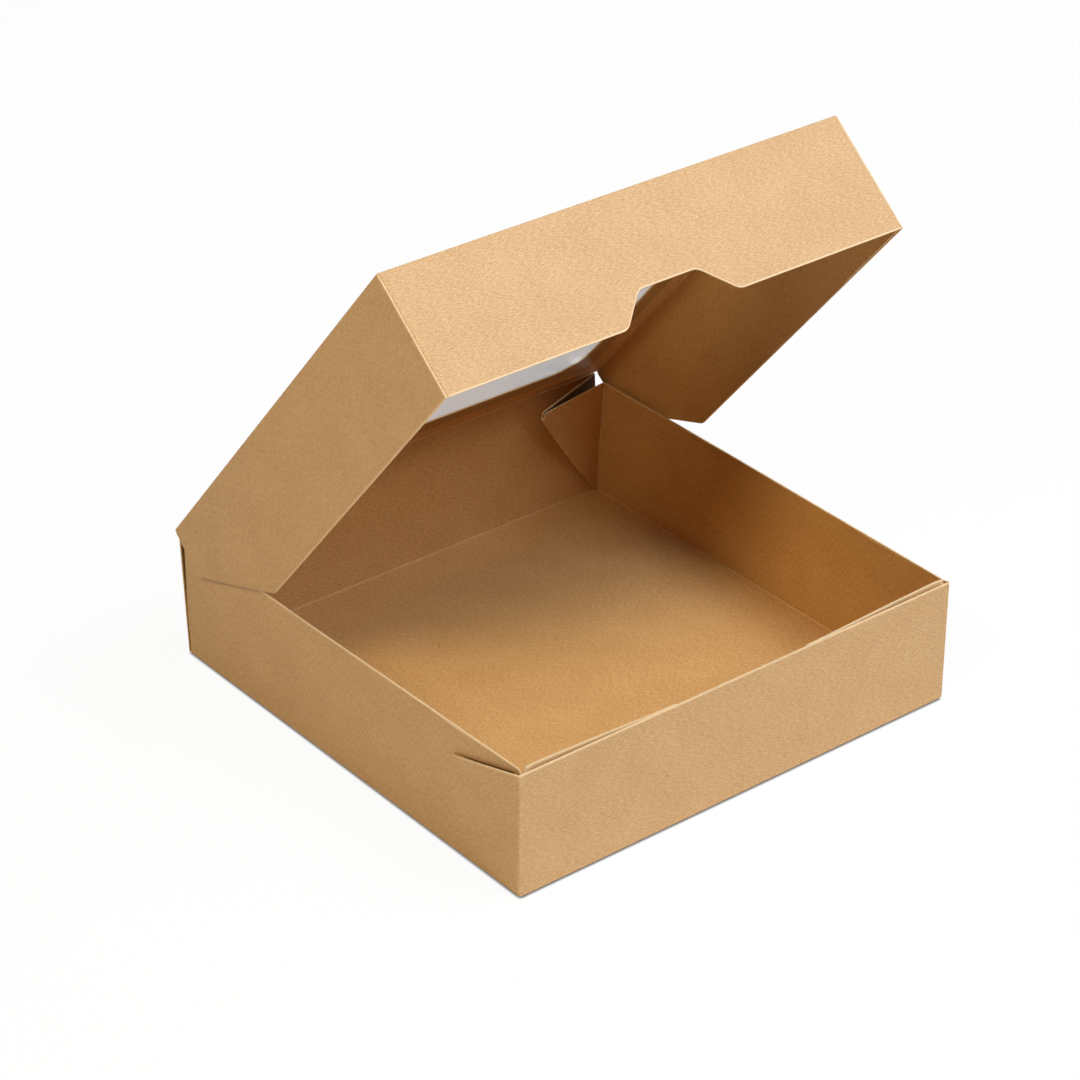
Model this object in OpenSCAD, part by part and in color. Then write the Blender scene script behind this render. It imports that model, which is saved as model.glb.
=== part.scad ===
// Kraft board box with a hinged lid that closes over the tray, and a clear window in the lid.
// Tray and lid are folded from one sheet. The tray's underside is z = 0, its front faces -Y.

/* [Tray] */
// Outer width of the tray
box_w = 200; // [120:1:300]
// Outer depth of the tray at its floor
box_d = 200; // [140:1:300]
// Height of the side walls
wall_h = 51; // [30:1:90]
// How far the front wall's rim lies below the side walls' rim
front_drop = 1; // [0:0.25:6]
// Thickness of the board
card = 0.5; // [0.3:0.05:0.9]
// How far the back wall leans out at its top
back_lean = 2.75; // [0:0.25:8]
// How far the rear ends of the side walls lean forward at the top
side_lean = 4.2; // [0:0.2:10]
// Depth that glued layers are pressed into each other
glue_press = 0.05; // [0.02:0.01:0.1]

/* [Front corners] */
// Length of the flap that wraps from the front wall onto a side wall
wrap_l = 37; // [15:1:60]
// Drop of the wrapped flap's tip below the front wall's rim
wrap_drop = 10.5; // [2:0.5:20]
// Length of the flap behind the front wall
inner_l = 69; // [20:1:90]
// Rise of that flap's corner above the side walls' rim
inner_rise = 1; // [0:0.25:4]
// Depth of that flap at its free end
inner_end = 13; // [5:1:25]

/* [Rear gussets] */
// Reach of the folded corner along the back wall
gusset_l = 36.5; // [15:0.5:60]
// Distance of the gusset's tip in front of the floor's rear edge
gusset_out = 9; // [2:0.5:20]
// Drop of the gusset's tip below the side wall's rim
gusset_drop = 0.8; // [0:0.1:6]

/* [Lid] */
// Angle at which the lid stands open
lid_open = 50; // [0:1:120]
// Height of the lid's side panels and front flap
lid_h = 47.5; // [25:0.5:85]
// Clearance between the lid's glue tabs and the tray at each side
lid_gap = 0.35; // [0.2:0.05:1.5]
// Clearance between the lid's front flap and the tray's front wall
front_gap = 0.6; // [0.3:0.1:2]
// Clearance between the tray's highest edge and the closed lid
lid_lift = 0.5; // [0.3:0.1:2]
// Clearance between the back wall's top edge and the lid at the crease
hinge_gap = 0.3; // [0.2:0.05:0.6]
// Height of the side panels at the crease
panel_rear_h = 20; // [8:1:25]
// Length of the slanted cut at the rear of the side panels
panel_cut = 44; // [10:1:70]
// Length of the front flap's glue tabs
tab_l = 43; // [15:1:60]
// Rise of a glue tab's top edge along its slant
tab_slant = 11; // [2:1:20]

/* [Thumb notch] */
// Width of the notch at the flap's free edge
notch_w = 50; // [20:1:90]
// Width of the notch at its end
notch_end_w = 26; // [8:1:60]
// Depth of the notch
notch_h = 12; // [5:0.5:22]
// Radius of the notch's corners
notch_r = 5; // [1:0.5:6]

/* [Window] */
// Board left at each side of the window
border_side = 18; // [12:1:45]
// Board left between the crease and the window
border_rear = 17; // [12:1:45]
// Board left between the window and the front edge
border_front = 17; // [12:1:45]
// Corner radius of the window
window_r = 15; // [3:1:30]
// Lap of the film round the window
film_lap = 9; // [4:0.5:10]
// Thickness of the film
film_t = 0.15; // [0.05:0.05:0.3]
// Thickness of the glue between film and board
film_glue = 0.02; // [0.01:0.01:0.1]

/* [Hidden] */
kraft = [0.80, 0.65, 0.45];
clear_film = [0.85, 0.87, 0.88, 0.35];

// Tray, measured to the faces of its board
side_out = box_w / 2 - card;
side_mid = side_out - card / 2;
front_y = -box_d / 2;
rear_y = box_d / 2;
front_h = wall_h - front_drop;
tray_top = wall_h + inner_rise;
// Lid: its inner face when closed, its crease and its sizes
lid_seat = tray_top + lid_lift;
back_h = lid_seat - hinge_gap;
crease_y = rear_y - card / 2 + back_lean;
crease_z = lid_seat + card / 2;
lid_l = crease_y - front_y + front_gap + card;
lid_in = box_w / 2 + lid_gap + card;
lid_out = lid_in + card;
lid_top = card / 2;
lid_edge = lid_top - lid_h;
// Folds are drawn as fine round beads just inside the board's faces
fold_r = 0.48 * card;

function unit(v) = v / norm(v);

// Points of an arc of radius r in the corner p between its neighbours a and b
function corner(a, p, b, r, n = 6) =
    let (u = unit(a - p))
    let (w = unit(b - p))
    let (half = acos(u * w) / 2)
    let (c = p + unit(u + w) * r / sin(half))
    let (s = p + u * r / tan(half) - c)
    let (e = p + w * r / tan(half) - c)
    let (turn = sign(s[0] * e[1] - s[1] * e[0]) * (180 - 2 * half))
    let (a0 = atan2(s[1], s[0]))
    [for (i = [0 : n]) c + r * [cos(a0 + turn * i / n), sin(a0 + turn * i / n)]];

// Outline from [x, y, radius] corners
function outline(q) =
    let (k = len(q))
    let (p = [for (v = q) [v[0], v[1]]])
    [for (i = [0 : k - 1])
        each q[i][2] > 0
            ? corner(p[(i + k - 1) % k], p[i], p[(i + 1) % k], q[i][2])
            : [p[i]]];

// A panel across X, its outline given in Y and Z
module panel_x(x, t = card) {
    translate([x, 0, 0])
        rotate([90, 0, 90])
            linear_extrude(t)
                children();
}

// A panel across Y, its outline given in X and Z, from y to y + t
module panel_y(y, t = card) {
    translate([0, y + t, 0])
        rotate([90, 0, 0])
            linear_extrude(t)
                children();
}

// A triangular panel through three points of its middle plane
module web(a, b, c) {
    u = unit(b - a);
    n = unit(cross(b - a, c - a));
    v = cross(n, u);
    multmatrix([
        [u[0], v[0], n[0], a[0]],
        [u[1], v[1], n[1], a[1]],
        [u[2], v[2], n[2], a[2]],
        [0, 0, 0, 1]
    ])
        linear_extrude(card, center = true)
            polygon([[0, 0], [norm(b - a), 0], [(c - a) * u, (c - a) * v]]);
}

// A fold from a to b
module fold(a, b) {
    d = b - a;
    translate(a)
        rotate([0, acos(d[2] / norm(d)), atan2(d[1], d[0])])
            cylinder(h = norm(d), r = fold_r, $fn = 24);
}

module both_sides() {
    children();
    mirror([1, 0, 0])
        children();
}

module side_wall() {
    panel_x(side_out - card)
        polygon([
            [front_y + card / 2, 0],
            [rear_y, 0],
            [rear_y - side_lean, wall_h],
            [front_y + card / 2, wall_h]
        ]);
}

// The front wall's end, wrapped round the corner and glued on the side wall
module wrap_flap() {
    panel_x(side_out - glue_press, card + glue_press)
        polygon(outline([
            [front_y, 0, 0],
            [front_y + wrap_l, front_h - wrap_drop, 1.5],
            [front_y, front_h, 0]
        ]));
}

// The side wall's end, folded in and glued behind the front wall
module inner_flap() {
    panel_y(front_y + card - glue_press, card + glue_press)
        polygon(outline([
            [side_out, 0, 0],
            [side_out, tray_top, 0],
            [side_out - inner_l, front_h, 2],
            [side_out - inner_l, front_h - inner_end, 4],
            [side_out - wrap_l, front_h - wrap_drop - card, 6]
        ]));
}

// The rear corner, folded inward in two triangles and left unglued
module gusset() {
    foot = [side_mid, rear_y - card / 2, card / 2];
    side_tip = [side_mid, rear_y - card / 2 - side_lean, wall_h];
    back_tip = [side_mid, crease_y, back_h];
    tip = [side_mid - gusset_l, rear_y - gusset_out, wall_h - gusset_drop];
    web(foot, side_tip, tip);
    web(foot, back_tip, tip);
    fold(foot, tip);
    fold(foot, side_tip);
    fold(foot, back_tip);
}

module tray() {
    color(kraft)
        union() {
            translate([-side_out, front_y, 0])
                cube([2 * side_out, box_d, card]);
            translate([-box_w / 2, front_y, 0])
                cube([box_w, card, front_h]);
            panel_x(-side_out, 2 * side_out)
                polygon([
                    [rear_y - card, 0],
                    [rear_y, 0],
                    [crease_y + card / 2, back_h],
                    [crease_y - card / 2, back_h]
                ]);
            both_sides() {
                side_wall();
                wrap_flap();
                inner_flap();
                gusset();
            }
        }
}

// The lid and its film are drawn closed, with the crease along X, and turned open about it
module opened() {
    translate([0, crease_y, crease_z])
        rotate([-lid_open, 0, 0])
            children();
}

module window_outline(grow, r) {
    x = lid_in - border_side + grow;
    y0 = -lid_l + border_front - grow;
    y1 = -border_rear + grow;
    polygon(outline([[-x, y0, r], [x, y0, r], [x, y1, r], [-x, y1, r]]));
}

module top_panel() {
    translate([0, 0, -card / 2])
        linear_extrude(card)
            difference() {
                translate([-lid_out, -lid_l])
                    square([2 * lid_out, lid_l]);
                window_outline(0, window_r);
            }
    fold([-lid_out, 0, 0], [lid_out, 0, 0]);
}

module front_flap() {
    panel_y(-lid_l)
        polygon(outline([
            [-lid_in - glue_press, lid_top, 0],
            [-lid_in - glue_press, lid_edge, 0],
            [-notch_w / 2, lid_edge, notch_r],
            [-notch_end_w / 2, lid_edge + notch_h, notch_r],
            [notch_end_w / 2, lid_edge + notch_h, notch_r],
            [notch_w / 2, lid_edge, notch_r],
            [lid_in + glue_press, lid_edge, 0],
            [lid_in + glue_press, lid_top, 0]
        ]));
}

module lid_side() {
    panel_x(lid_in)
        polygon(outline([
            [-lid_l, lid_top, 0],
            [-lid_l, lid_edge, 0.5],
            [-panel_cut, lid_edge, 8],
            [0, lid_top - panel_rear_h, 1.5],
            [0, lid_top, 0]
        ]));
}

// The front flap's end, folded back and glued inside the side panel
module glue_tab() {
    panel_x(lid_in - card, card + glue_press)
        polygon(outline([
            [-lid_l, -card, 0],
            [-lid_l, lid_edge + card, 0],
            [-lid_l + tab_l, lid_edge + card, 3],
            [-lid_l + tab_l - 2, -card - tab_slant, 5]
        ]));
}

module lid() {
    color(kraft)
        opened()
            union() {
                top_panel();
                front_flap();
                both_sides() {
                    lid_side();
                    glue_tab();
                }
            }
}

module window_film() {
    color(clear_film)
        opened()
            translate([0, 0, -card / 2 - film_glue - film_t])
                linear_extrude(film_t)
                    window_outline(film_lap, 2);
}

tray();
lid();
window_film();
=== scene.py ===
import math

import bmesh
import bpy
import numpy as np
from mathutils import Matrix


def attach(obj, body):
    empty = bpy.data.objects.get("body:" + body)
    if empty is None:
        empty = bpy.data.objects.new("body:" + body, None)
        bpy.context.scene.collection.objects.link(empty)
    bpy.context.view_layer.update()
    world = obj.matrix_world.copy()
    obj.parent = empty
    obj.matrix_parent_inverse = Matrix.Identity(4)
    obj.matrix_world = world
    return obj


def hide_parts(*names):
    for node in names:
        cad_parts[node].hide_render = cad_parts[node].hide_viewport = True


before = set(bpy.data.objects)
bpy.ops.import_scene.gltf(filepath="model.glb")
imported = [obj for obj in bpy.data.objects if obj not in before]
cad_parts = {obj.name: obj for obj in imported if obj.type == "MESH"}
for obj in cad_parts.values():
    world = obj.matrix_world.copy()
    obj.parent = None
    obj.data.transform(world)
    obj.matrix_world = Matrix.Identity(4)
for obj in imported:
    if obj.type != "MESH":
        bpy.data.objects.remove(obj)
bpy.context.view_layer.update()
scene = bpy.context.scene
scene.view_settings.view_transform = "Standard"

# CAMERA
# A long lens looks down on the front left corner of the half-open box. Its place comes from
# the box's own corners as they lie in the 1080 x 1080 picture.
azimuth, elevation, roll = np.radians([-38.872, 30.541, 0.112])
aside, above, away, focal_px = -8.06, 50.351, 1330.422, 3562.252
back = np.array([
    math.sin(azimuth) * math.cos(elevation),
    -math.cos(azimuth) * math.cos(elevation),
    math.sin(elevation),
])
level = np.array([math.cos(azimuth), math.sin(azimuth), 0.0])
upright = np.cross(back, level)
right = math.cos(roll) * level + math.sin(roll) * upright
upward = np.cross(back, right)
eye = (aside * right + above * upward + away * back) / 1000
lens = bpy.data.cameras.new("camera")
lens.sensor_width = 36
lens.lens = focal_px * 36 / 1080
lens.clip_start, lens.clip_end = 0.05, 20
camera = bpy.data.objects.new("camera", lens)
camera.matrix_world = Matrix([
    [right[0], upward[0], back[0], eye[0]],
    [right[1], upward[1], back[1], eye[1]],
    [right[2], upward[2], back[2], eye[2]],
    [0, 0, 0, 1],
])
scene.collection.objects.link(camera)
scene.camera = camera

# TRAY
# The lower half of one sheet of kraft board, creased and folded up: floor, front wall, back wall
# and side walls. The front wall's ends are glued outside the side walls and the side walls' ends
# inside the front wall; the rear corners are loose folded gussets. Sizes are in millimetres.
board_t = 0.55
fold_r = 0.45
half_w, half_d = 99.25, 99.75
side_h, front_h, back_h = 51.0, 50.0, 52.2
back_lean = 2.75
floor_z = 0.275
# Counts of grid lines, and places of the panels on the flat blank
n_across, n_along, n_up, n_arc = 81, 81, 24, 5
n_lap, n_inner, n_web, n_half = 33, 60, 25, 9
tray_at, gusset_at = 300, 600


class Sheet:
    """Panels of a folded sheet. Each is a grid of points in millimetres, with its own points on
    the flat blank, and a mark: 1 along pale cut edges, below 0 where shade is painted dark."""

    def __init__(self):
        self.points, self.faces, self.flat, self.worn, self.count = [], [], [], [], 0

    def panel(self, p, flat=None, worn=0.0):
        """Adds a grid; without flat, the blank's points are the lengths run along the grid."""
        rows, cols = p.shape[:2]
        if flat is None:
            down = np.linalg.norm(np.diff(p, axis=0, prepend=p[:1]), axis=2).cumsum(0)
            over = np.linalg.norm(np.diff(p, axis=1, prepend=p[:, :1]), axis=2).cumsum(1)
            flat = np.stack([down, over], -1) + 37.0 * len(self.points)
        k = np.arange(rows * cols).reshape(rows, cols) + self.count
        quads = np.stack([k[:-1, :-1], k[1:, :-1], k[1:, 1:], k[:-1, 1:]], -1).reshape(-1, 4)
        self.points.append(p.reshape(-1, 3))
        self.faces.append(quads)
        self.flat.append(np.broadcast_to(flat, (rows, cols, 2)).reshape(-1, 2))
        self.worn.append(np.broadcast_to(worn, (rows, cols)).reshape(-1))
        self.count += rows * cols

    def mesh(self, name, outside=None):
        """One mesh in metres, with the panels joined along their common edges. outside is the
        way that the outer side of the first panel faces."""
        faces, flat = np.concatenate(self.faces), np.concatenate(self.flat) / 1000
        mesh = bpy.data.meshes.new(name)
        mesh.from_pydata((np.concatenate(self.points) / 1000).tolist(), [], faces.tolist())
        uv = mesh.uv_layers.new(name="blank")
        uv.data.foreach_set("uv", flat[faces.reshape(-1)].reshape(-1).astype(np.float32))
        worn = mesh.attributes.new("worn", "FLOAT", "POINT")
        worn.data.foreach_set("value", np.concatenate(self.worn).astype(np.float32))
        work = bmesh.new()
        work.from_mesh(mesh)
        bmesh.ops.remove_doubles(work, verts=work.verts, dist=2e-5)
        bmesh.ops.dissolve_degenerate(work, edges=work.edges, dist=1e-6)
        bmesh.ops.recalc_face_normals(work, faces=work.faces)
        work.faces.ensure_lookup_table()
        if outside is not None and work.faces[0].normal.dot(outside) < 0:
            bmesh.ops.reverse_faces(work, faces=work.faces)
        work.to_mesh(mesh)
        work.free()
        return mesh


def mix(a, b, w):
    """Points a part w of the way from a to b."""
    return a + (b - a) * w


def ease(t):
    """Smooth step from 0 to 1: 3t^2 - 2t^3."""
    t = np.clip(t, 0.0, 1.0)
    return t * t * (3 - 2 * t)


def courses(low, high):
    """Rows from low to high: steps that close up by the power 1.5 towards a band of 0.6 mm, then
    the rubbed edge's two rows."""
    low, high = (np.asarray(edge, float)[..., None] for edge in (low, high))
    low, high = np.broadcast_arrays(low, high)
    band = np.minimum(0.6, 0.3 * (high - low))
    plain = low + (high - low - band) * (1 - np.linspace(1, 0, n_up - 1) ** 1.5)
    return np.concatenate([plain, high - 0.75 * band, high], -1)


# Wall profile: a quarter circle off the floor, then straight up. root is 1 at the floor's edge and
# 0 where the wall stands straight.
arc = np.linspace(0, np.pi / 2, n_arc)
out = np.r_[fold_r * np.sin(arc), np.full(n_up, fold_r)]
root = np.r_[np.cos(arc), np.zeros(n_up)] ** 2
edge_worn = np.r_[np.zeros(n_up - 1), 1.0, 1.0]
wall_worn = np.r_[0.25 * np.sin(2 * arc), edge_worn[1:]][:, None]
# Places across and along the floor from -1 to 1, closer together where the front flaps wrap
u = np.linspace(-1, 1, n_across)
v = np.r_[-1, -0.992, np.linspace(-0.98, -0.56, 26), np.linspace(-0.54, 1, n_along - 28)]


def wall_z(height):
    """Height of each profile row above the ground."""
    return np.r_[floor_z + fold_r * (1 - np.cos(arc)), courses(floor_z + fold_r, height)[1:]]


def spread(*parts):
    """Coordinates of rows and columns put together as points."""
    return np.stack(np.broadcast_arrays(*parts), -1)


# Lean of the side walls at the front corners, and the nick in the rim at the fold
lean_in, lean_run, lean_foot, lean_rise = 1.3, 120.0, 26.0, 17.0
nick, nick_run = 2.4, 4.0


def drawn_in(behind, z):
    """How far a side wall leans in behind the wrapped flap: evenly less towards the rear, and a
    smooth step up the wall."""
    fore = np.clip(1 - (behind - board_t - fold_r) / lean_run, 0, 1)
    return lean_in * fore * ease((z - lean_foot) / lean_rise)


def nicked(z, at_fold):
    """Rows of the rim where at_fold is 1, let down by a smooth step over the nick's run."""
    return z - nick * at_fold * ease((z - side_h + nick_run) / nick_run)


tray = Sheet()
gx, gy = (u * (half_w - fold_r))[:, None], v * (half_d - fold_r)
tray.panel(spread(gx, gy, floor_z), spread(gx, gy) + tray_at)

z = wall_z(front_h)[:, None]
x = mix(half_w - fold_r, half_w + board_t - fold_r, 1 - root)[:, None] * u
front = spread(x, (-half_d + fold_r - out)[:, None], z)
tray.panel(front, spread(x, -half_d - z) + tray_at, wall_worn)

z = wall_z(back_h)[:, None]
x = mix(half_w - fold_r, half_w, 1 - root)[:, None] * u
rear = spread(x, half_d - fold_r + out[:, None] + back_lean * (z - floor_z) / (back_h - floor_z), z)
rear_worn = 0.25 * np.r_[np.sin(2 * arc), np.zeros(n_up)][:, None]
tray.panel(rear, spread(x, half_d + z) + tray_at, rear_worn)

# Sizes at the corners: wrapped flap, slit above it, folded end of the side wall, rear gusset
lap, tip_drop = 37.0, 10.5
slit_z, still_z, slit_gap = 44.0, 20.0, 0.3
inner, end_h, end_r = 69.0, 13.0, 4.0
gusset_reach, gusset_fore, gusset_drop = 36.5, 8.75, 0.8
gusset_r, gusset_bow, hem_r = 0.42, 0.9, 0.3
foot_in, foot_fore = 0.9, 0.6
side_leans = ((-1, 0.3), (1, 4.2))
for side, side_lean in side_leans:
    # Side wall: its rear edge leans forward, and its rim draws in a little at the glued corner
    z = wall_z(side_h)[:, None]
    y_front = mix(-half_d + fold_r, -half_d + board_t + fold_r, 1 - root)[:, None]
    y_rear = half_d - fold_r * root[:, None] - side_lean * (z - floor_z) / (side_h - floor_z)
    y = mix(y_front, y_rear, (v + 1) / 2)
    # Behind the wrapped flap two rows are moved to its sloping top edge; the slit is painted shade
    behind = y + half_d
    slit = front_h - tip_drop * behind / lap
    under = np.searchsorted(z[:, 0], slit_z) - 1
    lower = (slit - slit_gap - z[under]) * np.clip((z - still_z) / (z[under] - still_z), 0, 1)
    upper = (slit - z[under + 1]) * np.clip((side_h - z) / (side_h - z[under + 1]), 0, 1)
    is_under = np.arange(len(z))[:, None] <= under
    by_flap = ease((lap + 10 - behind) / 10) * ease((behind - board_t - fold_r) / 3)
    z = z + np.where(is_under, lower, upper) * by_flap
    slit_painted_shade = is_under * ease((lap - 4 - behind) / 6) * ease((6 - slit + z) / 3)
    draw = drawn_in(behind, z)
    z = nicked(z, v < -0.999)
    wall = spread(side * (half_w - fold_r + out[:, None] - draw), y, z)
    tray.panel(wall, spread(side * (half_w + z), y) + tray_at, wall_worn - 0.9 * slit_painted_shade)

    # Front wall's end, wrapped round the corner: a tapered flap, pressed flush along its lower
    # edge, its tip standing a little off the wall
    e = np.r_[np.zeros(n_arc), np.linspace(0, 1, n_lap)[1:]] * (lap - fold_r)
    part = e / (lap - fold_r)
    blunt = np.sqrt(np.clip(1 - ((e - lap + fold_r + 2.0).clip(0) / 2.0) ** 2, 0, 1))
    low = mix(floor_z + fold_r, front_h - tip_drop, part)
    high = front_h - tip_drop * part
    low, high = high - (high - low) * (0.35 + 0.65 * blunt), high - 0.02 * (1 - blunt)
    z = courses(low, high)
    hug = 1 - (z - low[:, None]) / (high - low)[:, None].clip(1e-6)
    sunk = board_t + 0.06 + drawn_in(e[:, None] + board_t + fold_r, z)
    press = ease(hug) ** 0.6 * ease(e / 5)[:, None] * sunk
    lift = 0.1 * ease((part - 0.05) / 0.5)[:, None] * ease(1 - hug * 2.5)
    lap_x = half_w + board_t
    x0 = np.r_[lap_x - fold_r + fold_r * np.sin(arc), np.full(n_lap - 1, lap_x)]
    y0 = np.r_[-half_d + fold_r - fold_r * np.cos(arc), -half_d + fold_r + e[n_arc:]]
    past_fold = np.r_[fold_r * (arc - np.pi / 2), e[n_arc:]][:, None]
    flat = spread(side * (lap_x + past_fold), -half_d - z) + tray_at
    tray.panel(spread(side * (x0[:, None] - press + lift), y0[:, None], z), flat, edge_worn)

    # Side wall's end, folded in behind the front wall, its corner standing above the rims
    e = np.r_[np.zeros(n_arc), np.linspace(0, 1, n_inner)[1:]] * (inner - fold_r)
    low = np.interp(
        e,
        [0, lap, inner - end_r, inner],
        [floor_z + fold_r, front_h - tip_drop - 1, front_h - end_h, front_h - end_h + end_r],
    )
    high = side_h + ease(e / 0.8) - (side_h + 1 - front_h) * e / inner
    z = nicked(courses(low, high), (e < 0.5)[:, None])
    x0 = np.r_[half_w - fold_r + fold_r * np.cos(arc), half_w - fold_r - e[n_arc:]]
    inner_y = -half_d + board_t
    y0 = np.r_[inner_y + fold_r - fold_r * np.sin(arc), np.full(n_inner - 1, inner_y)]
    belly = ease(e / 6) * (1 - ease((e - 20) / 45))
    stand = 0.5 * ease((z - lean_foot) / 24) * belly[:, None]
    draw = drawn_in(board_t + fold_r, z) * ease(1 - e / 14)[:, None]
    past_fold = np.r_[fold_r * (arc - np.pi / 2), e[n_arc:]][:, None]
    flat = spread(side * (half_w + z), -half_d - past_fold) + tray_at
    # Painted shade: the flap's face towards the front wall is darkened below its rim, so the slot
    # between them reads dark.
    slot_painted_shade = 0.8 * ease((front_h - 0.1 - z) / 0.8) * (edge_worn == 0)
    tray.panel(spread(side * (x0[:, None] - draw), y0[:, None] + stand, z), flat, edge_worn - slot_painted_shade)

    # Rear gusset: each row runs from the side wall's rear edge, round the fold, to the back
    # wall's end; the folds are half circles about the line from foot to tip and the back edge
    a, b = wall[n_arc - 1:, -1], rear[n_arc - 1:, 0 if side < 0 else -1]
    tip = np.array([side * (half_w - gusset_reach), half_d - gusset_fore, side_h - gusset_drop])
    foot = (a[0] + b[0]) / 2 - np.array([side * foot_in, foot_fore, 0.0])
    rows = ((a[:, 2] - a[0, 2]) / (a[-1, 2] - a[0, 2]))[:, None]
    into = (a[-1] + b[-1]) / 2 - tip
    into /= np.linalg.norm(into)
    across = np.cross(into, tip - foot)
    across *= -np.sign(across[1]) / np.linalg.norm(across)
    phi = np.linspace(0, np.pi, n_half)[:, None]
    m = mix(foot, tip, rows) - gusset_bow * into * np.sin(np.pi * rows)
    bend = m[:, None] + gusset_r * (across * np.cos(phi) - into * np.sin(phi))
    hem = b[:, None] + hem_r * np.concatenate([side * np.sin(phi), -1 - np.cos(phi), 0 * phi], 1)
    run = np.linspace(0, 1, n_web)[:, None] ** 1.6
    web = np.concatenate([
        mix(bend[:, :1], a[:, None], run)[:, :0:-1],
        bend,
        mix(bend[:, -1:], hem[:, :1], run)[:, 1:],
        hem[:, 1:],
    ], 1)
    from_fold = np.linalg.norm(web[-1] - tip, axis=1)
    web -= (web - web[:1]) * (0.05 * np.exp(-(from_fold / 1.6) ** 2))[:, None]
    # Wear: a bell curve makes the fold pale, and the hollow on both sides of it is darkened with
    # painted shade
    column = np.arange(web.shape[1])
    fold_column, hem_column = n_web - 1 + n_half // 2, 2 * n_web + n_half
    by_fold = np.exp(-(column - fold_column) ** 2 / 14)
    pocket_painted_shade = np.minimum(column, hem_column - column).clip(0, 2) / 2
    rubbed = np.maximum(0.8 * edge_worn[:, None], 0.5 * by_fold)
    tray.panel(web, web[..., [0, 2]] + gusset_at, rubbed - 0.9 * pocket_painted_shade * (1 - by_fold))


class Finish:
    """The node tree of a material or room. add() makes any node: settings first, then sockets."""

    def __init__(self, owner):
        owner.use_nodes = True
        self.owner, self.tree = owner, owner.node_tree
        self.tree.nodes.clear()

    def add(self, kind, settings=(), out=0, **sockets):
        node = self.tree.nodes.new("ShaderNode" + kind)
        for key, value in dict(settings).items():
            if key == "stops":
                ramp = node.color_ramp.elements
                while len(ramp) < len(value):
                    ramp.new(0.5)
                for stop, (place, colour) in zip(ramp, value):
                    stop.position, stop.color = place, colour
            else:
                setattr(node, key, value)
        for key, value in sockets.items():
            socket = node.inputs[int(key[1:]) if key[0] == "_" else key.replace("_", " ")]
            if isinstance(value, Value):
                self.tree.links.new(value.socket, socket)
            else:
                socket.default_value = value
        return Value(self, node.outputs[out]) if len(node.outputs) else None


class Value:
    """A socket whose + - * and ** add Math nodes; a number may stand on either side."""

    def __init__(self, finish, socket):
        self.finish, self.socket = finish, socket

    def math(self, operation, a, b=0.0):
        return self.finish.add("Math", {"operation": operation}, _0=a, _1=b)

    def __add__(self, other):
        return self.math("ADD", self, other)

    __radd__ = __add__

    def __sub__(self, other):
        return self.math("SUBTRACT", self, other)

    def __rsub__(self, other):
        return self.math("SUBTRACT", other, self)

    def __mul__(self, other):
        return self.math("MULTIPLY", self, other)

    __rmul__ = __mul__

    def __pow__(self, other):
        return self.math("POWER", self, other)


def kraft_board(name, shine, dark, plain, pale, painted_shade_colour=None):
    """Natural kraft board: brown pulp, faintly clouded, with fine grain, specks and short fibres
    that lie every way, paler where an edge or a fold is rubbed, darkened by painted shade far inside
    a fold."""
    f = Finish(bpy.data.materials.new(name))
    place = f.add("TexCoord", out="UV")
    cloud = f.add("TexNoise", Vector=place, Scale=55.0, Detail=2.0, Roughness=0.5)
    grain = f.add("TexNoise", Vector=place, Scale=1900.0, Detail=3.0, Roughness=0.65)
    speck = f.add("TexNoise", Vector=place, Scale=3600.0, Detail=2.0, Roughness=0.6)
    fibre = 0.0
    for angle, start in ((0.35, 0.0), (1.4, 3.1), (2.45, 7.7)):
        turned = f.add(
            "Mapping",
            Vector=place,
            Location=(start, start, 0.0),
            Rotation=(0.0, 0.0, angle),
            Scale=(500.0, 3200.0, 1.0),
        )
        fibre = fibre + f.add("TexNoise", Vector=turned, Scale=1.0, Detail=1.0, Roughness=0.5)
    shade = 0.5 + (cloud - 0.5) * 0.24 + (grain - 0.5) * 1.4
    shade = shade + (speck - 0.5) * 1.9 + (fibre - 1.5) * 0.6
    pulp = f.add("ValToRGB", {"stops": [(0.22, dark), (0.5, plain), (0.8, pale)]}, Fac=shade)
    wear_and_shade_fac = f.add("Attribute", {"attribute_name": "worn"}, out="Fac")
    frayed, bare = wear_and_shade_fac * (0.45 + grain * 0.7), (0.82, 0.59, 0.345, 1)
    colour = f.add("Mix", {"data_type": "RGBA"}, out=2, _0=frayed, _6=pulp, _7=bare)
    relief = grain * 0.7 + fibre * 0.3 + speck * 0.4
    bump = f.add("Bump", Strength=0.028, Distance=0.0001, Height=relief)
    body = f.add(
        "BsdfPrincipled",
        Base_Color=colour,
        Roughness=0.6 + (grain - 0.5) * 0.05,
        Normal=bump,
        Specular_IOR_Level=shine,
    )
    # Below 0 the mark blends the face towards a near-black colour: painted shade in slits and
    # pockets.
    if painted_shade_colour:
        body = f.add("MixShader", _0=-1.0 * wear_and_shade_fac, _1=body, _2=f.add("BsdfDiffuse", Color=painted_shade_colour))
    f.add("OutputMaterial", Surface=body)
    return f.owner


def cut_edge(name):
    """The die-cut edge of the board: bare pale pulp with a fine ragged grain."""
    f = Finish(bpy.data.materials.new(name))
    place = f.add("TexCoord", out="Object")
    grain = f.add("TexNoise", Vector=place, Scale=1500.0, Detail=3.0, Roughness=0.7)
    stops = [(0.3, (0.62, 0.41, 0.21, 1)), (0.7, (0.86, 0.66, 0.42, 1))]
    pulp = f.add("ValToRGB", {"stops": stops}, Fac=grain)
    body = f.add("BsdfPrincipled", Base_Color=pulp, Roughness=0.85, Specular_IOR_Level=0.2)
    f.add("OutputMaterial", Surface=body)
    return f.owner


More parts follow.
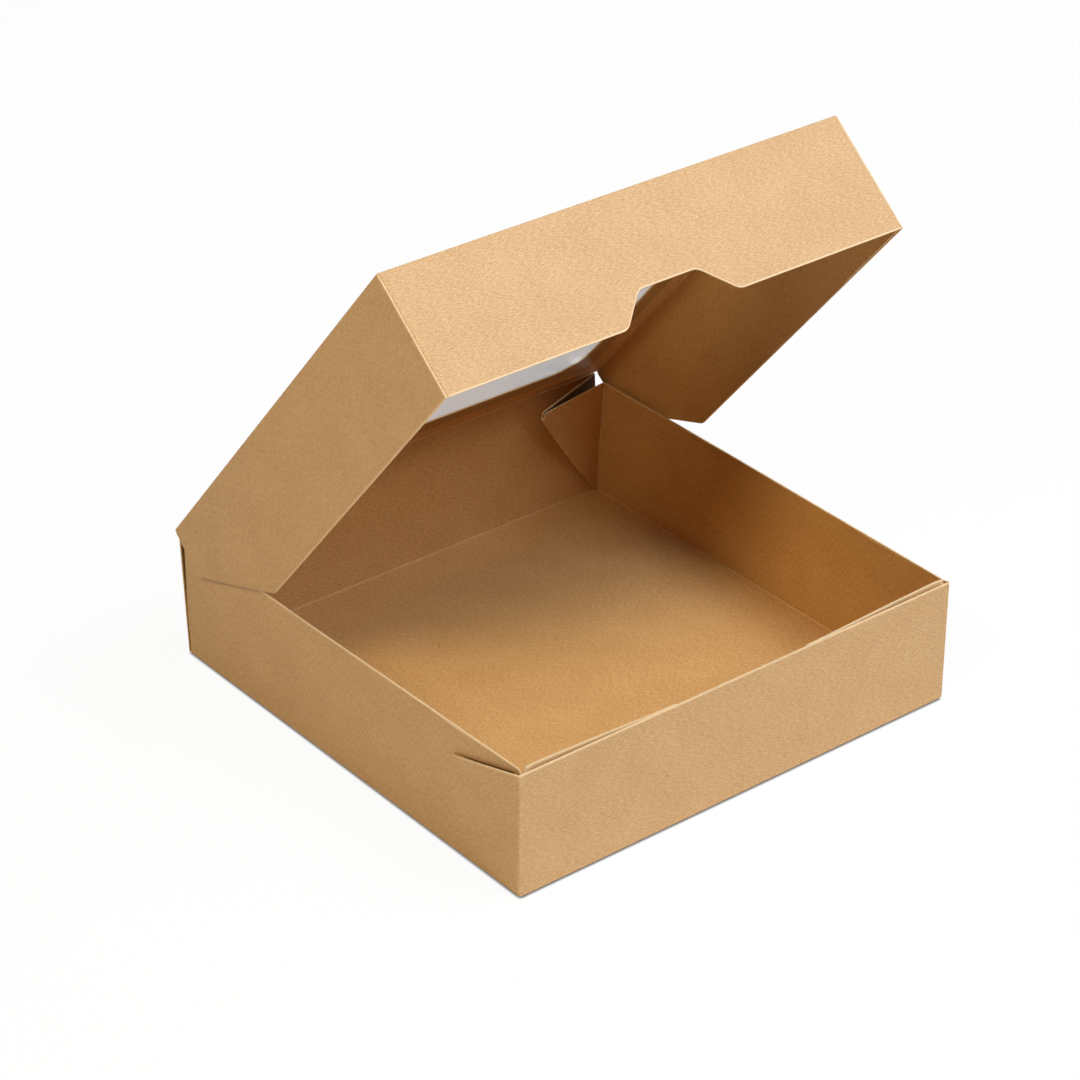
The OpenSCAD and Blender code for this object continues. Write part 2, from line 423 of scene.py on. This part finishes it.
kraft_out = kraft_board(
    "kraft_outer_face",
    shine=0.42,
    dark=(0.44, 0.235, 0.087, 1),
    plain=(0.564, 0.327, 0.138, 1),
    pale=(0.677, 0.431, 0.218, 1),
    # near-black colour of the painted shade in slits and pockets
    painted_shade_colour=(0.09, 0.04, 0.013, 1),
)
# The inner face is kraft like the outer one; its more saturated brown is painted shade for the warm
# light bounced about inside the tray.
kraft_in = kraft_board(
    "kraft_inner_face",
    shine=0.08,
    dark=(0.465, 0.231, 0.072, 1),
    plain=(0.617, 0.336, 0.121, 1),
    pale=(0.718, 0.417, 0.175, 1),
)
raw_edge = cut_edge("board_cut_edge")


def board(sheet, name, outside, body, node):
    """A folded sheet with its thickness, kraft faces and pale cut edges, riding on a body."""
    piece = bpy.data.objects.new(name, sheet.mesh(name, outside))
    scene.collection.objects.link(piece)
    for face in (kraft_out, kraft_in, raw_edge):
        piece.data.materials.append(face)
    wall = piece.modifiers.new("board", "SOLIDIFY")
    wall.thickness = board_t / 1000
    wall.offset = 0
    wall.material_offset, wall.material_offset_rim = 1, 2
    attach(piece, body)
    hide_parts(node)
    return piece


board(tray, "tray_board", (0, 0, -1), "tray", "tray")

# TRAY CREASES
# Inside each fold the pressed score swells into a fine bead of the same board. The beads run
# along the floor's four folds and down the folds between side walls and gussets.


def bead(sheet, start, end, radius=0.36):
    """A round bead on a straight line, drawn to a point at both ends: circles about the line."""
    start, end = np.array(start, float), np.array(end, float)
    along = (end - start) / np.linalg.norm(end - start)
    one = np.cross(along, [0.3, 0.5, 0.81])
    one /= np.linalg.norm(one)
    t = np.r_[0, 0.004, np.linspace(0.01, 0.99, 60), 0.996, 1][:, None]
    taper = np.sqrt(np.clip(1 - (2 * t - 1) ** 16, 0, 1))
    size = radius * taper * (1 + 0.12 * np.sin(t * 70) * np.sin(t * 23))
    phi = np.linspace(0, 2 * np.pi, 11)
    ring = one * np.cos(phi)[:, None] + np.cross(along, one) * np.sin(phi)[:, None]
    sheet.panel(mix(start, end, t)[:, None] + size[:, None] * ring, worn=0.4)


def beads(sheet, name, body):
    """Beads as one piece, in the board's own finish, riding on a body."""
    piece = bpy.data.objects.new(name, sheet.mesh(name))
    scene.collection.objects.link(piece)
    piece.data.materials.append(kraft_in)
    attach(piece, body)


creases = Sheet()
sx, sy, sz = half_w - 0.5, half_d - 0.5, floor_z + 0.42
bead(creases, (-sx, sy, sz), (sx, sy, sz))
bead(creases, (-sx, -sy + 0.5, sz), (sx, -sy + 0.5, sz))
for side, side_lean in side_leans:
    bead(creases, (side * sx, -sy, sz), (side * sx, sy, sz))
    fold_x = side * (sx + 0.1)
    bead(creases, (fold_x, sy - 0.3, 1.5), (fold_x, sy - side_lean - 0.2, side_h - 0.4), 0.3)
beads(creases, "tray_creases", "tray")

# LID
# The upper half of the same sheet, past the crease on the back wall: a top panel with the window
# cut out of it, side panels cut back at the rear, and a front flap with a thumb notch whose ends
# are folded back and glued inside the side panels.
crease_y, crease_z = 102.5, 52.75
lid_open = math.radians(50)
lid_half, lid_len, lid_h = 101.1, 203.35, 47.5
lid_low = lid_h - 0.25
lid_at, n_tab = 900, 23
window_half, window_rear, window_front, window_r = 82.85, 17.0, 186.6, 15.0


def opened(x, d, n):
    """Lid points: d along the lid from its crease, n below its top panel, turned open."""
    x, d, n = np.broadcast_arrays(x, d, n)
    y = crease_y - d * math.cos(lid_open) - n * math.sin(lid_open)
    z = crease_z + d * math.sin(lid_open) - n * math.cos(lid_open)
    return np.stack([x, y, z], -1)


def stations(start, end, *close):
    """Places from start to end about 3 mm apart, and 0.5 mm apart within each close range."""
    k = np.arange(start, end, 0.5)
    dense = np.zeros(len(k), bool)
    for lo, hi in close:
        dense |= (k > lo) & (k < hi)
    return np.r_[k[dense | (np.arange(len(k)) % 6 == 0)], end]


lid = Sheet()
edge_d, edge_x = lid_len - fold_r, lid_half - fold_r
# The top panel is four strips, each ruled from the window's edge to the panel's edge. At its ends
# a strip's window edge runs half way round a corner, where the next strip takes over.
eighth = np.linspace(0, np.pi / 4, 9)[1:]
far, near = window_r * np.cos(eighth), window_r * np.sin(eighth)
d_mid = stations(window_rear + window_r, window_front - window_r, (40, 48))
x_mid = stations(-window_half + window_r, window_half - window_r, (-29, -9), (9, 29))


def strip_edges(mid, lo, hi):
    """Both edges of a strip: places along the window's edge, its rounding, places on the panel's."""
    along = np.r_[mid[0] - near[::-1], mid, mid[-1] + near]
    rounding = np.r_[window_r - far[::-1], 0 * mid, window_r - far]
    outer = np.r_[np.linspace(lo, mid[0], 9)[:-1], mid, np.linspace(mid[-1], hi, 9)[1:]]
    close = np.r_[0.45, 0.6]
    full = np.unique(np.r_[outer, lo + close, hi - close])
    return np.interp(full, outer, along), np.interp(full, outer, rounding), full


side_d, side_round, outer_d = strip_edges(d_mid, 0.0, edge_d)
front_x, front_round, outer_x = strip_edges(x_mid, -edge_x, edge_x)
# Shares of the way across a strip: the first two rows are the window's worn edge
w = np.r_[0, 0.026, 0.036, np.linspace(0.1, 1, 9)][:, None]
window_worn = np.r_[1.0, 1.0, np.zeros(len(w) - 2)][:, None]


def ruled(x0, d0, x1, d1):
    """Top panel strip: straight lines from (x0, d0) on the window to (x1, d1) on the edge."""
    x, d = mix(x0, x1, w), mix(d0, d1, w)
    lid.panel(opened(x, d, 0.0), spread(x, -d) + lid_at, window_worn)


for side in (-1, 1):
    ruled(side * (window_half - side_round), side_d, side * edge_x, outer_d)
ruled(front_x, window_rear + front_round, outer_x, 0.0)
ruled(front_x, window_front - front_round, outer_x, edge_d)

# Side panels: lower edge cut on a slant up to the crease; the front edge covers the flap's end
cut_len, cut_rear, cut_r = 44.0, 20.0, 1.2
flare, flare_run = 0.6, 50.0
corner_n, corner_d = 1.6, 0.45


def bent(t, r):
    """A bend from 0 to t, rounded over -r to r: (t + r)^2 / 4r between them."""
    return np.where(t < -r, 0.0, np.where(t > r, t, (t + r) ** 2 / (4 * r)))


fold_n = np.repeat(fold_r * (1 - np.cos(arc))[:, None], len(outer_d), 1)
low = lid_low - bent(cut_len - outer_d, cut_r) * (lid_h - cut_rear) / cut_len
n = np.r_[fold_n, courses(np.full(len(outer_d), fold_r), low).T[1:]]
reach = (fold_r + board_t / 2) * np.sqrt(1 - (1 - np.clip(n / corner_n, 0, 1)) ** 2)
front_end = reach * ease((outer_d - edge_d + 0.8) / 0.3)
d = outer_d + corner_d * (1 - ease(n / corner_n)) * ease(1 - outer_d) * (n > 0)
ends_worn = 1.2 * (outer_d > edge_d - 0.5)
free_rows = np.r_[np.zeros(n_arc + n_up - 2), 1.0, 1.0][:, None]
low_worn = 0.7 * ease((outer_d - cut_len + 3) / 8) * free_rows
x = np.r_[edge_x + fold_r * np.sin(arc), np.full(n_up, lid_half)][:, None]
x = x + flare * ease((cut_len + 22 - outer_d) / flare_run) * ease(n / low)
for side, share in ((-1, 1.0), (1, 0.25)):
    lid.panel(
        opened(side * x, d + share * front_end, n),
        spread(side * (lid_half + n), -d) + lid_at,
        np.maximum(low_worn, (share - 0.25) * ends_worn * (n > fold_r)),
    )

# Front flap with the thumb notch, rounded where its slanted sides begin and end
notch_half, notch_end, notch_h, notch_r = 25.0, 13.0, 12.0, 1.9
slope = notch_h / (notch_half - notch_end)
climb = bent(abs(outer_x) - notch_end, notch_r) - bent(abs(outer_x) - notch_half, notch_r)
low = lid_low - notch_h + slope * climb
fold_n = np.repeat(fold_r * (1 - np.cos(arc))[:, None], len(outer_x), 1)
n = np.r_[fold_n, courses(np.full(len(outer_x), fold_r), low).T[1:]]
d = np.r_[edge_d + fold_r * np.sin(arc), np.full(n_up, lid_len)][:, None]
tab_x = lid_half - board_t - 0.02
x = outer_x * mix(1.0, (tab_x - fold_r) / edge_x, np.r_[np.zeros(n_arc), np.ones(n_up)])[:, None]
lid.panel(opened(x, d, n), spread(x, -lid_len - n) + lid_at, wall_worn)

# The flap's ends, folded back inside the side panels as glue tabs with a slanted top
tab_l, tab_slant = 43.0, 11.0
e = np.r_[np.zeros(n_arc), np.linspace(0, 1, n_tab)[1:]] * (tab_l - fold_r)
top = fold_r + np.interp(e, [0, 1.0, tab_l], [0, 0.8, tab_slant])
bottom = lid_low - np.interp(e, [0, 1.0, tab_l - 1, tab_l], [0, 0.5, 0.5, 1.2])
x0 = np.r_[tab_x - fold_r + fold_r * np.sin(arc), np.full(n_tab - 1, tab_x)][:, None]
d0 = np.r_[lid_len - fold_r + fold_r * np.cos(arc), lid_len - fold_r - e[n_arc:]][:, None]
n = courses(top, bottom)
for side in (-1, 1):
    lid.panel(opened(side * x0, d0, n), spread(side * (tab_x + e)[:, None], -lid_len - n) + lid_at)
board(lid, "lid_board", (0, 0, 1), "lid", "lid")

# LID CREASES
# The hinge is a pressed crease, a fine roll of board between lid and back wall; the same score
# swells inside the lid's other folds.
lid_creases = Sheet()
bead(lid_creases, opened(-lid_half + 0.6, 0, 0.05), opened(lid_half - 0.6, 0, 0.05), 0.42)
bead(lid_creases, opened(-edge_x, edge_d - 0.1, 0.4), opened(edge_x, edge_d - 0.1, 0.4), 0.3)
for side in (-1, 1):
    fold_x = side * (edge_x - 0.1)
    bead(lid_creases, opened(fold_x, 1, 0.4), opened(fold_x, edge_d - 1, 0.4), 0.3)
beads(lid_creases, "lid_creases", "lid")

# WINDOW
# One patch of clear plastic film, glued under the lid's top panel round the window. It lies
# almost flat, with the slight slack waves of thin film.
film_lap, film_depth, film_t = 9.0, 0.37, 0.15
slack, slack_run = 0.1, 30.0
# Lines all over the patch, and closer ones where the window's edges and corners lie
closer = np.arange(-0.4, 15.2, 0.8)
px = np.linspace(-window_half - film_lap, window_half + film_lap, 41)
px = np.unique(np.r_[px, closer - window_half, window_half - closer])[:, None]
pd = np.linspace(window_rear - film_lap, window_front + film_lap, 41)
pd = np.unique(np.r_[pd, closer + window_rear, window_front - closer])
# Slack: a smooth step in from each edge, times waves that are products of sines
sag = ease((window_half - abs(px)) / slack_run) * ease((pd - window_rear) / slack_run)
sag = sag * ease((window_front - pd) / slack_run)
waves = 1 + 0.5 * np.sin(px / 17 + pd / 23) * np.sin(pd / 31)
# Free film is 1 inside the window's rounded outline and 0 where the film is glued to the board
mid_d, half_len = (window_rear + window_front) / 2, (window_front - window_rear) / 2
past_x = (abs(px) - window_half + window_r).clip(0)
past_d = (abs(pd - mid_d) - half_len + window_r).clip(0)
unglued = ease(0.5 + window_r - np.hypot(past_x, past_d))
film = Sheet()
film.panel(opened(px, pd, film_depth + slack * sag * waves), worn=unglued)
patch = bpy.data.objects.new("window_patch", film.mesh("window_patch"))
scene.collection.objects.link(patch)
patch.data.polygons.foreach_set("use_smooth", np.ones(len(patch.data.polygons), bool))
# Clear film: it lets light through, and mirrors more the flatter it is seen, by a power law
gloss = Finish(bpy.data.materials.new("clear_film"))
graze = gloss.add("LayerWeight", out="Facing", Blend=0.5)
# On the film this point mark holds only the share of free film.
free = gloss.add("Attribute", {"attribute_name": "worn"}, out="Fac")
shine = gloss.add("BsdfGlossy", Color=(1, 1, 1, 1), Roughness=0.15)
clear = gloss.add("BsdfTransparent", Color=(0.91, 0.915, 0.92, 1))
mirrored = (0.03 + 0.95 * graze ** 4.5) * (0.05 + 0.95 * free)
gloss.add("OutputMaterial", Surface=gloss.add("MixShader", _0=mirrored, _1=clear, _2=shine))
patch.data.materials.append(gloss.owner)
film_wall = patch.modifiers.new("film", "SOLIDIFY")
film_wall.thickness, film_wall.offset = film_t / 1000, 0
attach(patch, "lid")
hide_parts("window_film")

# STAGE
# A plain white paper sweep in a white room, lit by a broad soft lamp at the front right, a small
# warm one at the left and a low one behind. The rays that show the background see it white; the
# box is lit by the lamps and by what the sweep throws back.
bpy.ops.mesh.primitive_plane_add(size=8, location=(0, 0, -0.0003))
ground = bpy.context.object
ground.name = "ground"


def background(finish):
    """1 for the rays that show the background: those of the camera, of gloss and of glass."""
    kinds = ("Camera", "Glossy", "Transmission")
    seen, gleam, passed = (finish.add("LightPath", out="Is %s Ray" % kind) for kind in kinds)
    return finish.add("Math", {"operation": "ADD", "use_clamp": True}, _0=seen + gleam, _1=passed)


paper = Finish(bpy.data.materials.new("white_sweep"))
lit = paper.add("BsdfDiffuse", Color=(0.92, 0.88, 0.80, 1))
# The glow fades in the narrow gap under the box, by the share of the sky that is open: a painted
# contact shadow
openness = paper.add("AmbientOcclusion", {"samples": 16}, out="AO", Distance=0.0011)
glow_with_painted_shadow = paper.add("Emission", Color=openness ** 1.5, Strength=1.0)
sweep = paper.add("MixShader", _0=0.94 * background(paper), _1=lit, _2=glow_with_painted_shadow)
paper.add("OutputMaterial", Surface=sweep)
ground.data.materials.append(paper.owner)


def lamp(name, place, size, watts, colour):
    """A square soft lamp at a place, facing the middle of the box."""
    light = bpy.data.lights.new(name, "AREA")
    light.size, light.energy, light.color = size, watts, colour
    piece = bpy.data.objects.new(name, light)
    there = np.array(place)
    axis = there - [0, 0, 0.06]
    axis /= np.linalg.norm(axis)
    flat = np.cross([0, 0, 1.0], axis)
    flat /= np.linalg.norm(flat)
    turn = np.eye(4)
    turn[:3] = np.c_[flat, np.cross(axis, flat), axis, there]
    piece.matrix_world = Matrix(turn.tolist())
    scene.collection.objects.link(piece)


lamp("key", (0.57, -0.88, 1.36), 1.2, 28.8, (0.9, 1.015, 1.2))
lamp("side", (-1.05, -0.5, 1.23), 0.35, 11.3, (1.14, 1.0, 0.66))
lamp("rear", (0.5, 1.5, 0.5), 0.9, 6.0, (1.0, 1.0, 1.0))
room = Finish(bpy.data.worlds.new("room"))
ambient, white = (0.02, 0.016, 0.01, 1), (1, 1, 1, 1)
air = room.add("Mix", {"data_type": "RGBA"}, out=2, _0=background(room), _6=ambient, _7=white)
room.add("OutputWorld", Surface=room.add("Background", Color=air, Strength=1.0))
scene.world = room.owner
